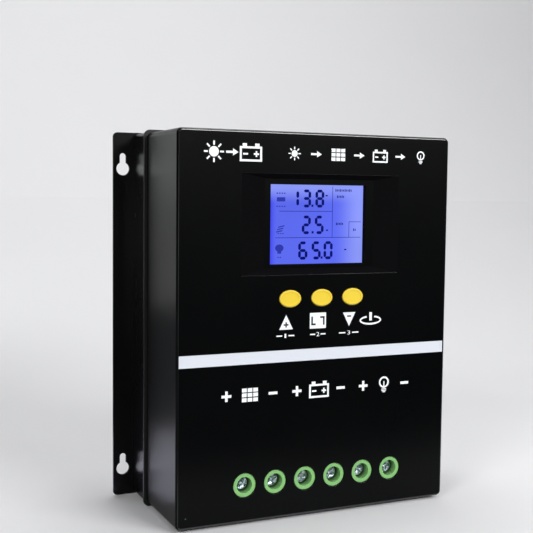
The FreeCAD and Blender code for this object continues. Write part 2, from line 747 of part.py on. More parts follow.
def make_power_stage():
    """The finned heat sink with its row of clamped transistors, behind the main board."""
    floor = "(2 * sheet_thick)"
    base_front = f"({floor} + sink_base)"
    solids = [
        slab("sink_plate", "0", "sink_low", "sink_high", "sink_wide", floor, base_front),
        slab("sink_shelf", "0", "sink_low", "shelf_high", "sink_wide", floor, "shelf_front"),
    ]
    for index in range(FINS):
        x = f"{index - (FINS - 1) / 2} * fin_pitch"
        solids.append(slab(f"fin_{index}", x, "fin_low", "sink_high", "fin_thick", floor, "fin_front"))
    row_z = "(sink_low + shelf_high) / 2"
    pad_front = "(shelf_front + pad_thick)"
    body_front = f"({pad_front} + transistor_thick)"
    clamp_front = f"({body_front} + clamp_thick)"
    bore_back = f"({clamp_front} - clamp_screw_length)"
    bores, screws = [], []
    for index in (-1, 0, 1):
        x = f"{index} * clamp_screw_pitch"
        bores.append(
            rod(f"clamp_bore_{index + 1}", x, row_z, "post_bore", f"({bore_back} - overcut)", FRONT)
        )
        head = rod(f"clamp_screw_head_{index + 1}", x, row_z, "post_screw_head", clamp_front,
                   f"({clamp_front} + post_screw_head_thick)")
        shank = rod(f"clamp_screw_shank_{index + 1}", x, row_z, "post_screw_radius", bore_back, clamp_front)
        screws.append(join(f"clamp_screw_{index + 1}", [head, shank]))
    tool = join("clamp_bores", bores)
    finish(cut("HeatSink", join("sink_solid", solids), [tool]), "heat_sink")
    insulation = block("pad_blank", "0", row_z, "clamp_wide", "pad_tall", "shelf_front", pad_front)
    finish(cut("InsulatingPad", insulation, [tool]), "insulating_pad")
    bar = block("clamp_blank", "0", row_z, "clamp_wide", "clamp_tall", body_front, clamp_front)
    finish(cut("TransistorClamp", bar, [tool]), "transistor_clamp")
    finish(group("ClampScrews", screws), "clamp_screws")

    transistors = []
    lead_back = f"({pad_front} + transistor_thick / 2)"
    lead_front = f"({lead_back} + lead_thick)"
    lead_low = f"({row_z} + transistor_tall / 2)"
    lead_high = f"({lead_low} + lead_reach)"
    for index in range(TRANSISTORS):
        x = f"{index - (TRANSISTORS - 1) / 2} * transistor_pitch"
        solids = [
            block(f"transistor_body_{index}", x, row_z, "transistor_wide", "transistor_tall", pad_front,
                  body_front)
        ]
        for lead in (-1, 0, 1):
            lead_x = f"{x} + {lead} * lead_pitch"
            name = f"lead_{index}_{lead + 1}"
            solids.append(slab(name, lead_x, lead_low, lead_high, "lead_thick", lead_back, lead_front))
            solids.append(
                slab(name + "_riser", lead_x, f"({lead_high} - lead_thick)", lead_high, "lead_thick",
                     lead_back, "board_back")
            )
        transistors.append(join(f"transistor_{index}", solids))
    finish(group("Transistors", transistors), "power_transistors")


def make_board_parts():
    """What stands on the front of the main board: inductor, capacitors, shunts and chips."""
    core = doc.addObject("Part::Torus", "CoilCore")
    core.Placement = FreeCAD.Placement(FreeCAD.Vector(), FORWARD)
    bind(core, "Radius1", "coil_radius")
    bind(core, "Radius2", "coil_core")
    finish(place(core, "coil_x", "coil_front", "coil_z"), "inductor_core")
    turns = []
    for index in range(COIL_TURNS):
        angle = 360 * index / COIL_TURNS
        turn = doc.addObject("Part::Torus", f"coil_turn_{index}")
        tangent = FreeCAD.Rotation(FreeCAD.Vector(0, 1, 0), -angle)
        turn.Placement = FreeCAD.Placement(FreeCAD.Vector(), tangent)
        bind(turn, "Radius1", "coil_core + coil_gap + coil_wire")
        bind(turn, "Radius2", "coil_wire")
        place(turn, f"coil_x + coil_radius * cos({angle} deg)", "coil_front",
              f"coil_z + coil_radius * sin({angle} deg)")
        turns.append(turn)
    finish(group("CoilTurns", turns), "inductor_winding")

    cans = []
    for index in range(CANS):
        x, neck_back = f"can_x + {index} * can_pitch", f"({BOARD_FRONT} + can_foot)"
        neck_front = f"({neck_back} + can_groove)"
        foot = rod(f"can_foot_{index}", x, "can_z", "can_radius", BOARD_FRONT, neck_back)
        neck = rod(f"can_neck_{index}", x, "can_z", "can_radius - can_groove", neck_back, neck_front)
        sleeve = rod(f"can_sleeve_{index}", x, "can_z", "can_radius", neck_front,
                     f"({BOARD_FRONT} + can_length)")
        cans.append(join(f"can_{index}", [foot, neck, sleeve]))
    finish(group("Cans", cans), "bulk_capacitors")

    shunts = []
    for side in (-1, 1):
        name, x = f"shunt_{side + 1}", f"{side} * shunt_x"
        arch = block(name + "_arch", x, "shunt_z", "shunt_wide", "shunt_tall", BOARD_FRONT,
                     f"({BOARD_FRONT} + shunt_high)")
        under = block(name + "_under", x, "shunt_z", "shunt_wide - 2 * shunt_strip", "2 * shunt_tall",
                      "board_back", f"({BOARD_FRONT} + shunt_high - shunt_strip)")
        shunts.append(cut(name, arch, [under]))
    finish(group("Shunts", shunts), "shunt_resistors")
    chip_front = f"({BOARD_FRONT} + chip_thick)"
    chip = block("ControlChip", "0", "chip_z", "chip_wide", "chip_wide", BOARD_FRONT, chip_front)
    finish(chip, "control_chip")
    drivers = [
        block(f"driver_{side + 1}", f"{side} * driver_pitch", "driver_z", "driver_wide", "driver_wide / 2",
              BOARD_FRONT, chip_front)
        for side in (-1, 0, 1)
    ]
    finish(group("Drivers", drivers), "driver_chips")


make_cover()
make_rim()
make_case()
make_cover_screws()
make_wall_plate()
make_stripe()
make_display()
make_keys()
finish(group("ContactBars", [make_terminal(index) for index in range(TERMINALS)]), "contact_bars")
make_main_board()
make_power_stage()
make_board_parts()
doc.recompute()

for item in doc.Objects:
    if "Invalid" in item.State or "Error" in item.State:
        raise RuntimeError(f"{item.Name}: {item.State}")
os.makedirs("parts", exist_ok=True)
for piece in finished:
    if piece.Shape.isNull() or not piece.Shape.isValid() or not piece.Shape.Solids:
        raise RuntimeError(f"{piece.Label} has no valid solid")
    piece.Shape.exportStep(f"parts/{piece.Label}.step")
print(len(finished), "sub-parts written")
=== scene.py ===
import bmesh
import bpy
import json
import math
from mathutils import Matrix, Vector


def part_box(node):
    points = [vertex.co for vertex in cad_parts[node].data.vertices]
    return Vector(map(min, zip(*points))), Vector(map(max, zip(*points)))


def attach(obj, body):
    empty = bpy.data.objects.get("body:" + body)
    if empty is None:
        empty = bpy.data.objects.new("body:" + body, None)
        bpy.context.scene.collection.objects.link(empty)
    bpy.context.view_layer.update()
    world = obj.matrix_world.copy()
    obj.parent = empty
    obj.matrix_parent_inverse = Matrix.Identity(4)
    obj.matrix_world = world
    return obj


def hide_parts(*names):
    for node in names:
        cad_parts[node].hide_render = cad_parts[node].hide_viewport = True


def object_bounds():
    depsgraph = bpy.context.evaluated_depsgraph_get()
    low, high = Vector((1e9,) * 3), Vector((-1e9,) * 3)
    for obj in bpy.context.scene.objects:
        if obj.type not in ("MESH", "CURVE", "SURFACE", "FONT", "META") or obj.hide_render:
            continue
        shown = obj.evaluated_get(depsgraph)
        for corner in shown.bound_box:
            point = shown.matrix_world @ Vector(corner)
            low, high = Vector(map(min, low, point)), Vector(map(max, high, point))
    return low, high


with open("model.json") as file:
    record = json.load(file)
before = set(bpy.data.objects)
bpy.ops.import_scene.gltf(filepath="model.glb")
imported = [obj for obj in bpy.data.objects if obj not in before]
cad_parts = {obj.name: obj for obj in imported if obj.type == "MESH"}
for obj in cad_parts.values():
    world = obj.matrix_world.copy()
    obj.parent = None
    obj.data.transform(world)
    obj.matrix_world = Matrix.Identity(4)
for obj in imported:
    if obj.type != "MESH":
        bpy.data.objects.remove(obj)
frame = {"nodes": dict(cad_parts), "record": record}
cad_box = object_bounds()

# Front cover. The real piece is a deep satin-black moulding with softly rounded edges, a sunk trough
# around the display window, three oval key holes and six round terminal holes. It slides onto the case
# and is held by four screws through the case walls.
MM = 0.001
corner_angle = math.radians(35)
facts = frame["record"]
body_of_node = {node: body for body, nodes in facts["behaviour"]["bodies"].items() for node in nodes}
cover_low, cover_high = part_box("front_cover")
face_y = cover_low.y


def finish_mesh(shape, name, sharp=corner_angle):
    """Turn a finished bmesh into an object with smooth rounds and flat faces."""
    mesh = bpy.data.meshes.new(name)
    shape.to_mesh(mesh)
    shape.free()
    mesh.shade_smooth()
    mesh.set_sharp_from_angle(angle=sharp)
    piece = bpy.data.objects.new(name, mesh)
    bpy.context.scene.collection.objects.link(piece)
    return piece


def softened(node, name, *finishes, edge=0.0, detail=None):
    """A welded copy of a CAD node with its sharp outer edges rounded, which stands for the node.

    detail is a function that works the mesh further before it is closed."""
    weld, flatness = 0.002 * MM, math.radians(1)
    shape = bmesh.new()
    shape.from_mesh(frame["nodes"][node].data)
    bmesh.ops.remove_doubles(shape, verts=shape.verts, dist=weld)
    if edge:
        bmesh.ops.dissolve_limit(shape, angle_limit=flatness, verts=shape.verts, edges=shape.edges)
        corners = [
            line for line in shape.edges
            if line.is_manifold and line.is_convex and line.calc_face_angle() > corner_angle
        ]
        bmesh.ops.bevel(shape, geom=corners, offset=edge, offset_type="OFFSET", affect="EDGES",
                        segments=2, profile=0.5, material=-1, clamp_overlap=True)
    if detail:
        detail(shape)
    piece = finish_mesh(shape, name)
    weights = piece.modifiers.new("even shading", "WEIGHTED_NORMAL")
    weights.keep_sharp = True
    for finish in finishes:
        piece.data.materials.append(finish)
    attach(piece, body_of_node[node])
    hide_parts(node)


def add_node(tree, kind, settings=None, **inputs):
    node = tree.nodes.new(kind)
    for name, value in (settings or {}).items():
        setattr(node, name, value)
    for name, value in inputs.items():
        node.inputs[name.replace("_", " ")].default_value = value
    return node


def new_group(name, inputs, outputs):
    """A node group with named number inputs and outputs, and the object's own coordinates."""
    group = bpy.data.node_groups.new(name, "ShaderNodeTree")
    for socket in inputs:
        group.interface.new_socket(socket, in_out="INPUT", socket_type="NodeSocketFloat")
    for socket in outputs:
        group.interface.new_socket(socket, in_out="OUTPUT", socket_type="NodeSocketFloat")
    ends = group.nodes.new("NodeGroupInput"), group.nodes.new("NodeGroupOutput")
    return group, *ends, group.nodes.new("ShaderNodeTexCoord")


def make_grain_group():
    """Fine surface grain, soft handling clouds and sparse dust specks, shared by every finish."""
    group, given, made, place = new_group(
        "surface_grain", ("Grains per Metre", "Cloud Scale"), ("Height", "Clouds", "Specks", "Scuffs")
    )
    link = group.links.new
    fine = add_node(group, "ShaderNodeTexNoise", Detail=3.0, Roughness=0.6)
    cells = add_node(group, "ShaderNodeTexVoronoi", {"feature": "SMOOTH_F1"}, Smoothness=0.6)
    clouds = add_node(group, "ShaderNodeTexNoise", Detail=4.0, Roughness=0.55, Distortion=0.4)
    specks = add_node(group, "ShaderNodeTexVoronoi", Scale=260.0)
    stretch = add_node(group, "ShaderNodeMapping", Scale=(40.0, 260.0, 90.0), Rotation=(0.3, 0.5, 0.9))
    scuffs = add_node(group, "ShaderNodeTexNoise", Scale=1.0, Detail=2.0)
    for texture in (fine, cells, clouds, specks):
        link(place.outputs["Object"], texture.inputs["Vector"])
    link(place.outputs["Object"], stretch.inputs["Vector"])
    link(stretch.outputs["Vector"], scuffs.inputs["Vector"])
    link(given.outputs["Grains per Metre"], fine.inputs["Scale"])
    link(given.outputs["Grains per Metre"], cells.inputs["Scale"])
    link(given.outputs["Cloud Scale"], clouds.inputs["Scale"])
    both = add_node(group, "ShaderNodeMath", {"operation": "ADD"})
    link(fine.outputs["Fac"], both.inputs[0])
    link(cells.outputs["Distance"], both.inputs[1])
    link(both.outputs[0], made.inputs["Height"])
    link(clouds.outputs["Fac"], made.inputs["Clouds"])
    small = add_node(group, "ShaderNodeMapRange", From_Min=0.1, From_Max=0.04)
    link(specks.outputs["Distance"], small.inputs["Value"])
    link(small.outputs["Result"], made.inputs["Specks"])
    thin = add_node(group, "ShaderNodeMapRange", From_Min=0.66, From_Max=0.78)
    link(scuffs.outputs["Fac"], thin.inputs["Value"])
    link(thin.outputs["Result"], made.inputs["Scuffs"])
    return group


surface_grain = make_grain_group()


def finish_material(name, colour, shade, gloss, grain, depth, metal=0.0, dust=0.01, clouds=9.0, shine=0.5):
    """A finish with two close shades, patches of gloss, light scuffs, dust specks and a fine grain.

    gloss is the roughness of the cleanest and dullest patches; depth is the grain's height in metres."""
    material = bpy.data.materials.new(name)
    material.use_nodes = True
    tree = material.node_tree
    link = tree.links.new
    shader = tree.nodes["Principled BSDF"]
    shader.inputs["Metallic"].default_value = metal
    shader.inputs["Specular IOR Level"].default_value = shine
    surface = add_node(tree, "ShaderNodeGroup", {"node_tree": surface_grain})
    surface.inputs["Grains per Metre"].default_value = grain
    surface.inputs["Cloud Scale"].default_value = clouds
    shades = add_node(tree, "ShaderNodeMix", {"data_type": "RGBA"})
    shades.inputs["A"].default_value = (*colour, 1)
    shades.inputs["B"].default_value = (*shade, 1)
    link(surface.outputs["Clouds"], shades.inputs["Factor"])
    dusty = add_node(tree, "ShaderNodeMix", {"data_type": "RGBA"})
    dusty.inputs["B"].default_value = (0.55, 0.54, 0.52, 1)
    amount = add_node(tree, "ShaderNodeMath", {"operation": "MULTIPLY"})
    amount.inputs[1].default_value = dust
    link(surface.outputs["Specks"], amount.inputs[0])
    link(amount.outputs[0], dusty.inputs["Factor"])
    link(shades.outputs["Result"], dusty.inputs["A"])
    link(dusty.outputs["Result"], shader.inputs["Base Color"])
    patch = add_node(tree, "ShaderNodeMapRange", From_Min=0.3, From_Max=0.75, To_Min=gloss[0],
                     To_Max=gloss[1])
    link(surface.outputs["Clouds"], patch.inputs["Value"])
    rubbed = add_node(tree, "ShaderNodeMath", {"operation": "MULTIPLY_ADD"})
    rubbed.inputs[1].default_value = 0.025
    link(surface.outputs["Scuffs"], rubbed.inputs[0])
    link(patch.outputs["Result"], rubbed.inputs[2])
    link(rubbed.outputs[0], shader.inputs["Roughness"])
    bump = add_node(tree, "ShaderNodeBump", Strength=1.0, Distance=depth)
    link(surface.outputs["Height"], bump.inputs["Height"])
    link(bump.outputs["Normal"], shader.inputs["Normal"])
    return material


cover_black = finish_material("satin_black_cover", (0.001, 0.0012, 0.0014), (0.0018, 0.002, 0.0022),
                              gloss=(0.27, 0.31), grain=2600.0, depth=0.004 * MM, dust=0.002, shine=0.09)
polished_edge = finish_material("polished_cover_edge", (0.004, 0.0045, 0.005), (0.006, 0.0065, 0.007),
                                gloss=(0.2, 0.26), grain=2600.0, depth=0.002 * MM, dust=0.0, shine=0.8)
rough_cut = finish_material("rough_cut_edge", (0.002, 0.002, 0.0025), (0.003, 0.003, 0.0035),
                            gloss=(0.85, 0.95), grain=1200.0, depth=0.02 * MM, dust=0.0, shine=0.05)
glass_low, glass_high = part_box("display_glass")
window_mid = (glass_low + glass_high) / 2
window_reach = Vector((34.0, 0, 25.4)) * MM
trough_reach = Vector((60.0, 0, 40.0)) * MM


def near_window(spot, reach):
    return abs(spot.x - window_mid.x) < reach.x and abs(spot.z - window_mid.z) < reach.z


def work_front(shape):
    """Round the trough's rim, polish the rounded edges, and make its slopes and the window's walls dull."""
    rim_least, rim_steepness, rim_depth, rim_round = 10 * MM, math.radians(20), 0.05 * MM, 0.45 * MM
    rim = [
        line for line in shape.edges
        if line.is_manifold and line.calc_length() > rim_least and line.calc_face_angle() > rim_steepness
        and all(end.co.y < face_y + rim_depth and near_window(end.co, trough_reach) for end in line.verts)
    ]
    bmesh.ops.bevel(shape, geom=rim, offset=rim_round, offset_type="OFFSET", affect="EDGES", segments=3,
                    profile=0.5, material=-1, clamp_overlap=False)
    shape.normal_update()
    satin, polished, dull = 0, 1, 2
    slope_area, slope_depth, round_depth = 120 * MM * MM, 3.3 * MM, 1.5 * MM
    slope_sides = set()
    for face in shape.faces:
        middle = face.calc_center_median()
        narrow = face.calc_area() < slope_area
        if near_window(middle, window_reach) and abs(face.normal.y) < 0.5:
            face.material_index = dull
        elif 0.1 < -face.normal.y < 0.995 and middle.y < face_y + (round_depth if narrow else slope_depth):
            sloped = near_window(middle, trough_reach) and not narrow
            face.material_index = dull if sloped else polished if abs(face.normal.x) < 0.3 else satin
            slope_sides.update(face.edges if sloped else ())
    bmesh.ops.split_edges(shape, edges=list(slope_sides))


softened("front_cover", "cover_shell", cover_black, polished_edge, rough_cut, edge=0.35 * MM,
         detail=work_front)

# Stripe film. A strip of white self-adhesive vinyl, cut a little shorter than the cover is wide and stuck
# straight across the front.
stripe_vinyl = finish_material("white_vinyl", (0.73, 0.765, 0.83), (0.69, 0.725, 0.79), gloss=(0.35, 0.45),
                               grain=900.0, depth=0.004 * MM, dust=0.02)
softened("stripe_film", "front_stripe", stripe_vinyl)

# Printed marks. White screen-printed ink on the cover: a sun and battery above the display's left end, a
# flow of sun, panel, battery and lamp to its right, signs and numbers under the keys, and the three
# terminal pairs' signs. Dark ink fills the gaps in the key signs.
ink_coat = 0.04 * MM
panel_mid = Vector((0, face_y, (cover_low.z + cover_high.z) / 2))
ink_white = finish_material("white_ink", (0.95, 0.99, 1.0), (0.9, 0.94, 0.97), gloss=(0.4, 0.5),
                            grain=2200.0, depth=0.003 * MM, dust=0.0)
# Painted highlight: a near-black finish a little lighter than the cover, for a clear film's edge and a
# small pale spot.
film_edge_highlight_and_spot = finish_material("film_edge_painted_highlight_and_spot", (0.025, 0.03, 0.032), (0.035, 0.04, 0.042), gloss=(0.2, 0.3),
                            grain=2200.0, depth=0.003 * MM, dust=0.0)
ink_black = finish_material("black_gaps", (0.004, 0.004, 0.005), (0.006, 0.006, 0.007), gloss=(0.35, 0.45),
                            grain=2200.0, depth=0.003 * MM, dust=0.0)


def flat(x, z, wide, tall, turn=0.0):
    """Places a unit shape drawn flat in the panel's plane, in millimetres from the panel's middle."""
    spot = panel_mid + Vector((x * MM, 0, z * MM))
    return (
        Matrix.Translation(spot) @ Matrix.Rotation(math.radians(turn), 4, "Y")
        @ Matrix.Rotation(math.pi / 2, 4, "X") @ Matrix.Diagonal((wide * MM, tall * MM, 1, 1))
    )


def add_bar(shape, x, z, wide, tall, turn=0.0, snip=0.0):
    """A rectangle; snip takes its four corners off."""
    place = flat(x, z, wide, tall, turn)
    made = bmesh.ops.create_grid(shape, x_segments=1, y_segments=1, size=0.5, matrix=place)
    if snip:
        bmesh.ops.bevel(shape, geom=made["verts"], offset=snip * MM, offset_type="OFFSET",
                        affect="VERTICES", segments=1, profile=0.5, material=-1)


def add_disc(shape, x, z, wide, tall, sides=40, turn=0.0):
    place = flat(x, z, wide, tall, turn)
    bmesh.ops.create_circle(shape, cap_ends=True, segments=sides, radius=0.5, matrix=place)


def add_ring(shape, x, z, wide, tall, stroke, sides=48):
    loops = []
    for less in (0, 2 * stroke):
        place = flat(x, z, wide - less, tall - less)
        made = bmesh.ops.create_circle(shape, cap_ends=False, segments=sides, radius=0.5, matrix=place)
        loops += {line for point in made["verts"] for line in point.link_edges}
    bmesh.ops.bridge_loops(shape, edges=loops)


def add_frame(shape, x, z, wide, tall, stroke):
    for side in (-1, 1):
        add_bar(shape, x, z + side * (tall - stroke) / 2, wide, stroke)
        add_bar(shape, x + side * (wide - stroke) / 2, z, stroke, tall - 2 * stroke)


def printed(shape, name, material, lift=0.0):
    """Give flat marks the thickness of a coat of ink and lay them on the cover."""
    bmesh.ops.translate(shape, verts=shape.verts, vec=(0, -lift, 0))
    faces = list(shape.faces)
    grown = bmesh.ops.extrude_face_region(shape, geom=faces, use_keep_orig=True)["geom"]
    front = [part for part in grown if isinstance(part, bmesh.types.BMVert)]
    bmesh.ops.translate(shape, verts=front, vec=(0, -ink_coat, 0))
    bmesh.ops.recalc_face_normals(shape, faces=shape.faces)
    piece = finish_mesh(shape, name)
    piece.data.materials.append(material)
    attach(piece, "enclosure")
    return piece


def add_plus(shape, x, z, size, stroke):
    add_bar(shape, x, z, size, stroke)
    for side in (-1, 1):
        add_bar(shape, x, z + side * (size + stroke) / 4, stroke, (size - stroke) / 2)


def add_sun(shape, x, z, size):
    rays, reach = 8, 0.41 * size
    add_disc(shape, x, z, size * 0.5, size * 0.5)
    for ray in range(rays):
        turn = 360 / rays * ray
        angle = math.radians(turn)
        add_bar(shape, x + reach * math.cos(angle), z + reach * math.sin(angle), 0.2 * size, 0.085 * size,
                turn=-turn)


def add_panel(shape, x, z, size):
    cells, gap, broad = 3, 0.21, 1.25
    step = size / cells
    for column in range(cells):
        for row in range(cells):
            add_bar(shape, x + (column - 1) * step * broad, z + (row - 1) * step, step * (broad - gap),
                    step * (1 - gap))


def add_battery(shape, x, z, size):
    middle, stroke = z - 0.08 * size, 0.1 * size
    add_frame(shape, x, middle, 1.35 * size, 0.84 * size, 0.12 * size)
    for side in (-1, 1):
        add_bar(shape, x + side * 0.38 * size, z + 0.42 * size, 0.26 * size, 0.16 * size)
    add_bar(shape, x - 0.33 * size, middle, 0.3 * size, stroke)
    add_plus(shape, x + 0.33 * size, middle, 0.32 * size, stroke)


def add_lamp(shape, x, z, size):
    add_ring(shape, x, z + 0.13 * size, 0.72 * size, 0.72 * size, 0.11 * size)
    for row, wide in enumerate((0.34, 0.34, 0.2)):
        add_bar(shape, x, z - (0.3 + 0.09 * row) * size, wide * size, 0.055 * size)
    add_bar(shape, x, z + 0.02 * size, 0.08 * size, 0.34 * size)


def add_arrow(shape, x, z, size):
    add_bar(shape, x - 0.33 * size, z, 0.74 * size, 0.22 * size)
    add_disc(shape, x + 0.24 * size, z, 0.8 * size, 0.8 * size, sides=3, turn=90)


def add_number(shape, number, x, z, wide, tall):
    """A flat number stretched to a width and height."""
    letters = bpy.data.curves.new("letters", "FONT")
    letters.body = str(number)
    carrier = bpy.data.objects.new("letters", letters)
    mesh = bpy.data.meshes.new_from_object(carrier)
    corners = [point.co.copy() for point in mesh.vertices]
    low = Vector(map(min, *corners))
    high = Vector(map(max, *corners))
    size = high - low
    unit = Matrix.Diagonal((1 / size.x, 1 / size.y, 1, 1))
    mesh.transform(unit @ Matrix.Translation(-(low + high) / 2))
    mesh.transform(flat(x, z, wide, tall))
    shape.from_mesh(mesh)
    bpy.data.objects.remove(carrier)
    bpy.data.curves.remove(letters)
    bpy.data.meshes.remove(mesh)


marks = bmesh.new()
title_z, flow_z = 106.5, 106.7
add_sun(marks, -71.6, title_z, 12.4)
add_arrow(marks, -59.7, title_z, 6.0)
add_battery(marks, -47.8, title_z, 10.8)
flow_x, flow_step = -18.7, 15.2
flow_signs = (add_sun, add_arrow, add_panel, add_arrow, add_battery, add_arrow, add_lamp)
for index, draw in enumerate(flow_signs):
    draw(marks, flow_x + flow_step * index, flow_z, 5.6 if draw is add_arrow else 8.2)
printed(marks, "printed_title_marks", ink_white)

marks = bmesh.new()
sign_z, sign_step, sign_stroke, pole_offset = -40.8, 47.5, 1.7, 15.5
for index, draw in enumerate((add_panel, add_battery, add_lamp)):
    x = -47 + sign_step * index
    draw(marks, x, sign_z, 9.0 if draw is add_panel else 10.4)
    add_plus(marks, x - pole_offset, sign_z, 6.4, sign_stroke)
    add_bar(marks, x + pole_offset, sign_z, 6.0, sign_stroke)
printed(marks, "printed_terminal_signs", ink_white)

marks = bmesh.new()
key_sign_x = (-23.1, -1.0, 21.3)
add_disc(marks, key_sign_x[0], 1.3, 10.9, 12.2, sides=3)
add_bar(marks, key_sign_x[1], 3.0, 11.4, 9.9)
add_disc(marks, key_sign_x[2], 4.4, 10.4, 11.8, sides=3, turn=180)
key_number_z, number_tall, dash_tall = -5.6, 2.6, 0.8
for number, x, wide in ((1, -23.5, 12.5), (2, -0.9, 11.1), (3, 21.2, 14.4)):
    add_number(marks, number, x, key_number_z, 1.2 if number == 1 else 2.0, number_tall)
    for side in (-1, 1):
        add_bar(marks, x + side * wide * 0.33, key_number_z, wide * 0.32, dash_tall)
add_bar(marks, 37.1, 4.1, 1.9, 5.4)
printed(marks, "printed_key_signs", ink_white)

marks = bmesh.new()
power_x, power_z, power_gap = 37.0, 1.7, 2.6
add_ring(marks, power_x, power_z, 16.0, 6.0, 1.2, sides=64)
opening = [
    face for face in marks.faces
    if abs(face.calc_center_median().x - power_x * MM) < power_gap * MM
    and face.calc_center_median().z > panel_mid.z + power_z * MM
]
bmesh.ops.delete(marks, geom=opening, context="FACES")
printed(marks, "printed_power_ring", ink_white)

marks = bmesh.new()
add_plus(marks, key_sign_x[0], 1.2, 3.2, 0.9)
add_bar(marks, key_sign_x[2], 4.9, 2.8, 0.9)
for side in (-1, 1):
    add_bar(marks, key_sign_x[1] + side * 4.1, 2.9, 1.1, 5.4)
    add_bar(marks, key_sign_x[1] + side * 2.7, 2.9 + side * 2.2, 2.2, 1.1)
printed(marks, "printed_symbol_gaps", ink_black, lift=ink_coat)

# A thin strip 3 mm under the stripe, the edge of a clear film, painted lighter than the cover as the
# highlight along that edge. Also a small pale spot near the lower left corner in the same finish.
marks = bmesh.new()
add_bar(marks, -42.0, -21.6, 102.0, 0.45)
add_disc(marks, -88.3, -113.1, 1.0, 1.0, sides=16)
printed(marks, "film_edge_painted_highlight_and_spot", film_edge_highlight_and_spot)

# Display. A lit glass panel in a black holder behind the window: the light is blue-violet, paler along the
# top and the right, and the figures, frames and small signs are dark liquid-crystal shapes on it.
lit_edge = 66.7 / 2


def display_material():
    """Emission that shades from deep blue at the left edge to pale violet at the top and right."""
    material = bpy.data.materials.new("lit_display")
    material.use_nodes = True
    tree = material.node_tree
    link = tree.links.new
    shader = tree.nodes["Principled BSDF"]
    shader.inputs["Base Color"].default_value = (0.01, 0.01, 0.03, 1)
    shader.inputs["Roughness"].default_value = 0.12
    shader.inputs["Emission Strength"].default_value = 1.0
    place = add_node(tree, "ShaderNodeTexCoord")
    axes = add_node(tree, "ShaderNodeSeparateXYZ")
    link(place.outputs["Object"], axes.inputs[0])
    colour = None
    zones = (
        ("X", window_mid.x - lit_edge * MM, window_mid.x - (lit_edge - 6) * MM,
         (0.045, 0.05, 0.88), (0.1, 0.14, 0.87)),
        ("X", window_mid.x + 12 * MM, window_mid.x + 32 * MM, None, (0.26, 0.32, 0.95)),
        ("Z", window_mid.z + 12 * MM, window_mid.z + 24 * MM, None, (0.27, 0.33, 0.98)),
    )
    for axis, start, end, first, second in zones:
        ramp = add_node(tree, "ShaderNodeMapRange", {"interpolation_type": "SMOOTHSTEP"}, From_Min=start,
                        From_Max=end)
        link(axes.outputs[axis], ramp.inputs["Value"])
        mix = add_node(tree, "ShaderNodeMix", {"data_type": "RGBA"})
        link(ramp.outputs["Result"], mix.inputs["Factor"])
        if colour is None:
            mix.inputs["A"].default_value = (*first, 1)
        else:
            link(colour, mix.inputs["A"])
        mix.inputs["B"].default_value = (*second, 1)
        colour = mix.outputs["Result"]
    glow = add_node(tree, "ShaderNodeTexNoise", Scale=28.0, Detail=1.0)
    link(place.outputs["Object"], glow.inputs["Vector"])
    uneven = add_node(tree, "ShaderNodeMapRange", To_Min=0.86, To_Max=1.1)
    link(glow.outputs["Fac"], uneven.inputs["Value"])
    lit = add_node(tree, "ShaderNodeVectorMath", {"operation": "SCALE"})
    link(colour, lit.inputs[0])
    link(uneven.outputs["Result"], lit.inputs["Scale"])
    link(lit.outputs[0], shader.inputs["Emission Color"])
    return material


def crystal_material(name, dark, pale):
    """Switched-on liquid crystal: dark blue, with a little of the backlight coming through."""
    material = finish_material(name, (0.001, 0.001, 0.01), (0.001, 0.002, 0.014), gloss=(0.2, 0.3),
                               grain=3000.0, depth=0.001 * MM, dust=0.0, shine=0.08)
    tree = material.node_tree
    shader = tree.nodes["Principled BSDF"]
    shader.inputs["Emission Strength"].default_value = 1.0
    place = add_node(tree, "ShaderNodeTexCoord")
    patches = add_node(tree, "ShaderNodeTexNoise", Scale=420.0)
    mix = add_node(tree, "ShaderNodeMix", {"data_type": "RGBA"})
    mix.inputs["A"].default_value = (*dark, 1)
    mix.inputs["B"].default_value = (*pale, 1)
    tree.links.new(place.outputs["Object"], patches.inputs["Vector"])
    tree.links.new(patches.outputs["Fac"], mix.inputs["Factor"])
    tree.links.new(mix.outputs["Result"], shader.inputs["Emission Color"])
    return material


softened("display_glass", "display_lit_glass", display_material())
crystal = crystal_material("liquid_crystal", (0.0, 0.002, 0.1), (0.001, 0.006, 0.19))
faint_crystal = crystal_material("faint_liquid_crystal", (0.02, 0.03, 0.34), (0.035, 0.05, 0.45))
segments_of = {
    "0": "abcdef", "1": "bc", "2": "abged", "3": "abgcd", "5": "afgcd", "6": "afgedc", "8": "abcdefg",
}


def add_digit(shape, figure, x, z, wide, tall):
    """Seven-segment figure with its left edge at x and its foot at z."""
    stroke = 1.85
    half_tall = tall / 2
    bars = {
        "a": (wide / 2, tall, False), "g": (wide / 2, half_tall, False), "d": (wide / 2, 0, False),
        "f": (0, half_tall * 1.5, True), "b": (wide, half_tall * 1.5, True),
        "e": (0, half_tall * 0.5, True), "c": (wide, half_tall * 0.5, True),
    }
    for name in segments_of[figure]:
        across, up, standing = bars[name]
        long = (half_tall if standing else wide) - stroke * 0.32
        size = (stroke, long) if standing else (long, stroke)
        add_bar(shape, x + across, z + up, *size, snip=stroke * 0.42)


def add_reading(shape, figures, places, foot, tall, wide):
    """A row of figures; a point is drawn as a small square after the figure before it."""
    for figure, x in zip(figures, places):
        if figure == ".":
            add_bar(shape, x, foot + 0.2, 1.4, 1.4)
        else:
            add_digit(shape, figure, x, foot, wide, tall)


def crystal_piece(shape, name, finish=crystal):
    back = glass_low.y - panel_mid.y
    bmesh.ops.translate(shape, verts=shape.verts, vec=(0, back, 0))
    piece = printed(shape, name, finish)


shape = bmesh.new()
add_reading(shape, "13.8", (-17.3, -8.9, -2.6, 0.4), 74.6, 9.4, 4.4)
add_reading(shape, "2.5", (-8.9, -2.2, 0.2), 57.9, 9.8, 4.4)
add_reading(shape, "65.0", (-11.2, -1.8, 4.4, 6.7), 41.9, 9.6, 4.6)
for x, z in ((7.4, 81.2), (8.0, 59.4), (21.4, 47.0)):
    add_bar(shape, x, z, 1.6, 0.8)
crystal_piece(shape, "display_figures")

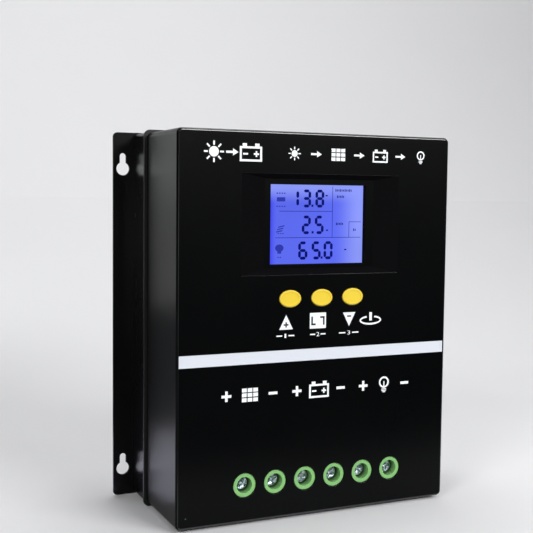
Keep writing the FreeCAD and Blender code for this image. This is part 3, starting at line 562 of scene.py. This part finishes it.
shape = bmesh.new()
rule = 0.3
add_bar(shape, -6.9, 71.3, 37.2, rule)
add_bar(shape, 2.2, 54.8, 60.4, rule)
add_bar(shape, 11.7, 70.8, rule, 32.0)
add_bar(shape, 23.8, 59.8, rule, 10.0)
add_bar(shape, 28.1, 64.7, 8.6, rule)
dash_step = 1.1
for x, z, wide in ((17.5, 80.6, 5.6), (17.5, 63.4, 6.6), (28.0, 59.6, 2.4), (20.0, 84.6, 13.0)):
    for dash in range(int(wide / dash_step)):
        add_bar(shape, x - wide / 2 + dash_step * dash + 0.5, z, 0.6, 1.3 if dash % 3 else 1.7)
crystal_piece(shape, "display_frames")

shape = bmesh.new()
for z in (82.4, 74.3):
    for dash in range(4):
        add_bar(shape, -27.0 + 1.7 * dash, z, 1.0, 0.7)
add_bar(shape, -24.4, 78.6, 5.8, 2.6)
for row in range(3):
    add_bar(shape, -24.0 - 0.7 * row, 61.8 - 1.5 * row, 4.4, 0.7, turn=-12)
for dash in range(3):
    add_bar(shape, -26.0 + 1.6 * dash, 57.4, 1.0, 0.6)
add_disc(shape, -25.2, 48.4, 5.8, 4.6, sides=24)
add_bar(shape, -25.2, 45.7, 2.6, 1.5)
for dash in range(2):
    add_bar(shape, -26.0 + 1.6 * dash, 42.6, 1.0, 0.6)
crystal_piece(shape, "display_signs", faint_crystal)

# Keys. Three oval caps moulded in yellow, each with a shallow dish and a soft rim, pushed out by the
# switch behind it.
key_yellow = finish_material("yellow_key", (0.82, 0.585, 0.027), (0.86, 0.64, 0.045), gloss=(0.38, 0.5),
                             grain=2400.0, depth=0.004 * MM, dust=0.0)
for name in ("up", "set", "down"):
    softened("key_" + name, name + "_key_cap", key_yellow, edge=0.12 * MM)

# Trim frame. A dull black moulded frame, pinched between the cover and the case and standing a little proud
# of both, where it hides the joint.
trim_black = finish_material("dull_trim", (0.004, 0.004, 0.0045), (0.007, 0.007, 0.0075), gloss=(0.4, 0.5),
                             grain=1800.0, depth=0.006 * MM, shine=0.3)
softened("trim_frame", "case_trim_frame", trim_black, edge=0.4 * MM)

# Case and wall plate. Folded and flat sheet steel, spot-welded together and powder-coated black, with
# keyholes in the two flanges; the cover's screws sit flush in the case walls.
powder_coat = finish_material("powder_coat", (0.002, 0.002, 0.0024), (0.0035, 0.0035, 0.004),
                              gloss=(0.24, 0.32), grain=1500.0, depth=0.006 * MM, shine=0.13)
for node, name in (("rear_case", "steel_case"), ("wall_plate", "steel_wall_plate")):
    softened(node, name, powder_coat, edge=0.3 * MM)
screw_black = finish_material("black_oxide", (0.03, 0.03, 0.03), (0.05, 0.05, 0.048), gloss=(0.3, 0.45),
                              grain=4000.0, depth=0.002 * MM, metal=1.0)
softened("cover_screws", "case_screws", screw_black, edge=0.1 * MM)

# Terminals. Green moulded housings whose collars fill the cover's round holes; deep in each one a
# zinc-plated clamp screw draws its cage up against a tinned contact bar.
def darken_inwards(material, near, far, least):
    """Paint shade into a finish: darken it to a share of itself as it goes back into the object, as the
    shade in a narrow well.
    """
    tree = material.node_tree
    shader = tree.nodes["Principled BSDF"]
    colour = shader.inputs["Base Color"].links[0].from_socket
    place = add_node(tree, "ShaderNodeTexCoord")
    axes = add_node(tree, "ShaderNodeSeparateXYZ")
    depth = add_node(tree, "ShaderNodeMapRange", From_Min=near, From_Max=far, To_Min=1.0, To_Max=least)
    shade = add_node(tree, "ShaderNodeVectorMath", {"operation": "SCALE"})
    tree.links.new(place.outputs["Object"], axes.inputs[0])
    tree.links.new(axes.outputs["Y"], depth.inputs["Value"])
    tree.links.new(colour, shade.inputs[0])
    tree.links.new(depth.outputs["Result"], shade.inputs["Scale"])
    tree.links.new(shade.outputs[0], shader.inputs["Base Color"])


green_with_painted_well_shade = finish_material("green_housing_painted_well_shade", (0.19, 0.45, 0.14), (0.23, 0.5, 0.17), gloss=(0.35, 0.48),
                                 grain=2000.0, depth=0.004 * MM)
# Painted shade: the housings' green gets darker the deeper it lies in each terminal's well.
darken_inwards(green_with_painted_well_shade, face_y + 1.2 * MM, face_y + 8 * MM, 0.12)
# Painted reflection: the plate runs in small patches from dark teal, standing for dark surroundings
# mirrored in the screw heads, to bright zinc.
zinc_with_painted_reflections = finish_material("zinc_plate_painted_reflections", (0.0, 0.09, 0.12), (0.9, 0.98, 1.0), gloss=(0.3, 0.46), grain=1500.0,
                       depth=0.05 * MM, metal=1.0, dust=0.0, clouds=600.0)
tinned = finish_material("tinned_copper", (0.7, 0.68, 0.6), (0.78, 0.72, 0.6), gloss=(0.25, 0.4),
                         grain=2500.0, depth=0.003 * MM, metal=1.0, dust=0.0, clouds=120.0)
terminals = 6
for number in range(1, terminals + 1):
    softened(f"terminal_housing_{number}", f"green_terminal_{number}", green_with_painted_well_shade, edge=0.25 * MM)
    softened(f"terminal_screw_{number}", f"clamp_screw_{number}", zinc_with_painted_reflections)
    softened(f"terminal_cage_{number}", f"clamp_cage_{number}", zinc_with_painted_reflections, edge=0.2 * MM)
softened("contact_bars", "tinned_contact_bars", tinned, edge=0.15 * MM)

# Inside. The boards, heat sink and power parts, held on posts and by screws out of sight behind the cover,
# each in the finish of its kind: solder mask, epoxy, bare or plated metal, silicone, plastic sleeve.
inner_finishes = {
    "solder_mask": ((0.008, 0.09, 0.035), (0.015, 0.14, 0.05), (0.3, 0.4), 0.0),
    "black_epoxy": ((0.012, 0.012, 0.013), (0.02, 0.02, 0.021), (0.5, 0.65), 0.0),
    "cast_white": ((0.75, 0.76, 0.8), (0.82, 0.83, 0.86), (0.4, 0.5), 0.0),
    "bare_steel": ((0.5, 0.5, 0.5), (0.62, 0.62, 0.6), (0.25, 0.4), 1.0),
    "drawn_aluminium": ((0.72, 0.73, 0.74), (0.82, 0.82, 0.83), (0.28, 0.42), 1.0),
    "turned_brass": ((0.72, 0.5, 0.2), (0.8, 0.6, 0.28), (0.2, 0.35), 1.0),
    "copper_wire": ((0.72, 0.3, 0.12), (0.8, 0.4, 0.18), (0.2, 0.3), 1.0),
    "grey_silicone": ((0.35, 0.38, 0.4), (0.42, 0.44, 0.46), (0.6, 0.75), 0.0),
    "core_coating": ((0.05, 0.2, 0.12), (0.08, 0.26, 0.16), (0.4, 0.55), 0.0),
    "can_sleeve": ((0.01, 0.015, 0.05), (0.02, 0.025, 0.07), (0.15, 0.25), 0.0),
}
inner_parts = {
    "solder_mask": ("main_board", "display_board"),
    "black_epoxy": ("power_transistors", "control_chip", "driver_chips", "key_switches", "board_link",
                    "display_holder", "switch_plunger_up", "switch_plunger_set", "switch_plunger_down"),
    "cast_white": ("display_backlight",),
    "bare_steel": ("display_board_screws", "board_screws", "clamp_screws", "transistor_clamp",
                   "shunt_resistors"),
    "drawn_aluminium": ("heat_sink",),
    "turned_brass": ("board_posts",),
    "copper_wire": ("inductor_winding",),
    "grey_silicone": ("insulating_pad",),
    "core_coating": ("inductor_core",),
    "can_sleeve": ("bulk_capacitors",),
}
for finish, (colour, shade, gloss, metal) in inner_finishes.items():
    material = finish_material(finish, colour, shade, gloss=gloss, grain=1600.0, depth=0.004 * MM,
                               metal=metal)
    for node in inner_parts[finish]:
        slots = frame["nodes"][node].data.materials
        slots.clear()
        slots.append(material)

# Stage. A pale floor that curves up into a backdrop, an apron in front that the object doesn't reflect, a
# wide pale surround, and a grey card at the left that the glossy sides reflect in place of the backdrop.
floor_z = cad_box[0][2]
paper = finish_material("pale_paper", (0.7, 0.7, 0.712), (0.72, 0.72, 0.732), gloss=(0.85, 0.95),
                        grain=300.0, depth=0.02 * MM, dust=0.0)


def rolled_paper(name, line):
    """A wide sheet that follows a line drawn from front to back, rounded where the line turns."""
    left, wide, turn_round = -3.0, 6.4, 0.35
    sheet = bmesh.new()
    points = [sheet.verts.new((left, y, z)) for y, z in line]
    for pair in zip(points, points[1:]):
        sheet.edges.new(pair)
    if points[1:-1]:
        bmesh.ops.bevel(sheet, geom=points[1:-1], offset=turn_round, offset_type="OFFSET",
                        affect="VERTICES", segments=12, profile=0.5, material=-1)
    grown = bmesh.ops.extrude_edge_only(sheet, edges=sheet.edges[:])["geom"]
    far = [part for part in grown if isinstance(part, bmesh.types.BMVert)]
    bmesh.ops.translate(sheet, verts=far, vec=(wide, 0, 0))
    bmesh.ops.recalc_face_normals(sheet, faces=sheet.faces)
    piece = finish_mesh(sheet, name, sharp=math.radians(60))
    piece.data.materials.append(paper)
    return piece


apron_end = -0.2
floor_line = ((apron_end, floor_z), (0.6, floor_z), (1.1, floor_z + 0.4), (1.25, floor_z + 2.4))
rolled_paper("studio_floor", floor_line)
apron = rolled_paper("studio_apron", ((-3.4, floor_z), (apron_end, floor_z)))
apron.visible_glossy = apron.visible_diffuse = False
wall_shape = bmesh.new()
wall_reach = 3.6
bmesh.ops.create_cone(wall_shape, cap_ends=False, segments=96, radius1=wall_reach, radius2=wall_reach,
                      depth=7.0)
surround = finish_mesh(wall_shape, "studio_surround")
pale_wall = finish_material("pale_surround", (0.66, 0.66, 0.67), (0.69, 0.69, 0.7), gloss=(0.85, 0.95),
                            grain=100.0, depth=0.02 * MM, dust=0.0)
wall_shader = pale_wall.node_tree.nodes["Principled BSDF"]
wall_colour = wall_shader.inputs["Base Color"].links[0].from_socket
pale_wall.node_tree.links.new(wall_colour, wall_shader.inputs["Emission Color"])
wall_shader.inputs["Emission Strength"].default_value = 0.9
surround.data.materials.append(pale_wall)
surround.visible_glossy = surround.visible_diffuse = surround.visible_shadow = False

card_shape = bmesh.new()
card_left, card_right, card_top, card_y = -0.7, -0.12, -0.012, 0.17
card_edge = ((card_left, floor_z), (card_right, floor_z), (card_right, card_top), (card_left, card_top))
card_shape.faces.new([card_shape.verts.new((x, card_y, z)) for x, z in card_edge])
card = finish_mesh(card_shape, "shade_card")
card_grey = finish_material("dark_card", (0.14, 0.145, 0.15), (0.18, 0.185, 0.19), gloss=(0.8, 0.9),
                            grain=400.0, depth=0.02 * MM)
card.data.materials.append(card_grey)
card.visible_camera = card.visible_shadow = card.visible_diffuse = False

# Lights. Large soft boxes in front, above and at the left, a light for the backdrop, and two small coloured
# panels that only the glossy left side shows, in a faint cool world.


def add_light(name, spot, aim, size, power, colour=(1, 1, 1)):
    lamp = bpy.data.lights.new(name, "AREA")
    lamp.shape = "RECTANGLE"
    lamp.size, lamp.size_y = size
    lamp.energy = power
    lamp.color = colour
    holder = bpy.data.objects.new(name, lamp)
    holder.location = spot
    holder.rotation_euler = (Vector(aim) - Vector(spot)).to_track_quat("-Z", "Y").to_euler()
    bpy.context.scene.collection.objects.link(holder)
    return holder


add_light("front_softbox", (0.56, -1.22, 0.62), (0, 0, 0.0), (0.8, 0.3), 17)
add_light("fill_softbox", (-1.1, -0.9, 1.0), (0, 0, 0), (0.5, 0.5), 9.5)
add_light("top_softbox", (0.05, 0.25, 1.5), (0, 0.2, 0), (1.2, 0.6), 11.5)
add_light("backdrop_light", (1.1, -0.1, 1.6), (0.9, 1.2, 0.3), (1.6, 0.5), 8)
add_light("well_light", (-0.55, -1.15, 0.02), (0, 0, -0.09), (0.3, 0.2), 2.5)
panel_x, panel_y, panel_lift = -0.146, 0.05, 0.004
low_panel = add_light("low_side_panel", (panel_x, panel_y, floor_z + panel_lift), (panel_x, panel_y, 1),
                      (0.08, 0.18), 0.06, colour=(0.78, 0.78, 1.0))
high_panel = add_light("high_side_panel", (-0.34, 0.62, 0.2), (-0.09, -0.06, 0.1), (0.3, 0.24), 0.125,
                       colour=(0.9, 1.0, 0.91))
low_panel.visible_camera = high_panel.visible_camera = False
world = bpy.data.worlds.new("studio")
world.use_nodes = True
sky = world.node_tree.nodes["Background"]
sky.inputs["Color"].default_value = (0.9, 0.92, 1.0, 1)
sky.inputs["Strength"].default_value = 0.05
bpy.context.scene.world = world
bpy.context.scene.view_settings.view_transform = "Standard"

# Camera. It stands at the front left, a little above the middle of the panel, and turns right towards it,
# at distances that are shares of the cover's height.
camera_data = bpy.data.cameras.new("camera")
camera_data.sensor_width = 36
camera_data.lens = 65.3
camera = bpy.data.objects.new("camera", camera_data)
cover_tall = cover_high.z - cover_low.z
stand = panel_mid + Vector((-1.164, -2.232, 0.330)) * cover_tall
turn, dip, lean = 24.36, 4.04, 0.61
camera.matrix_world = (
    Matrix.Translation(stand) @ Matrix.Rotation(math.radians(-turn), 4, "Z")
    @ Matrix.Rotation(math.radians(90 - dip), 4, "X") @ Matrix.Rotation(math.radians(lean), 4, "Z")
)
bpy.context.scene.collection.objects.link(camera)
bpy.context.scene.camera = camera
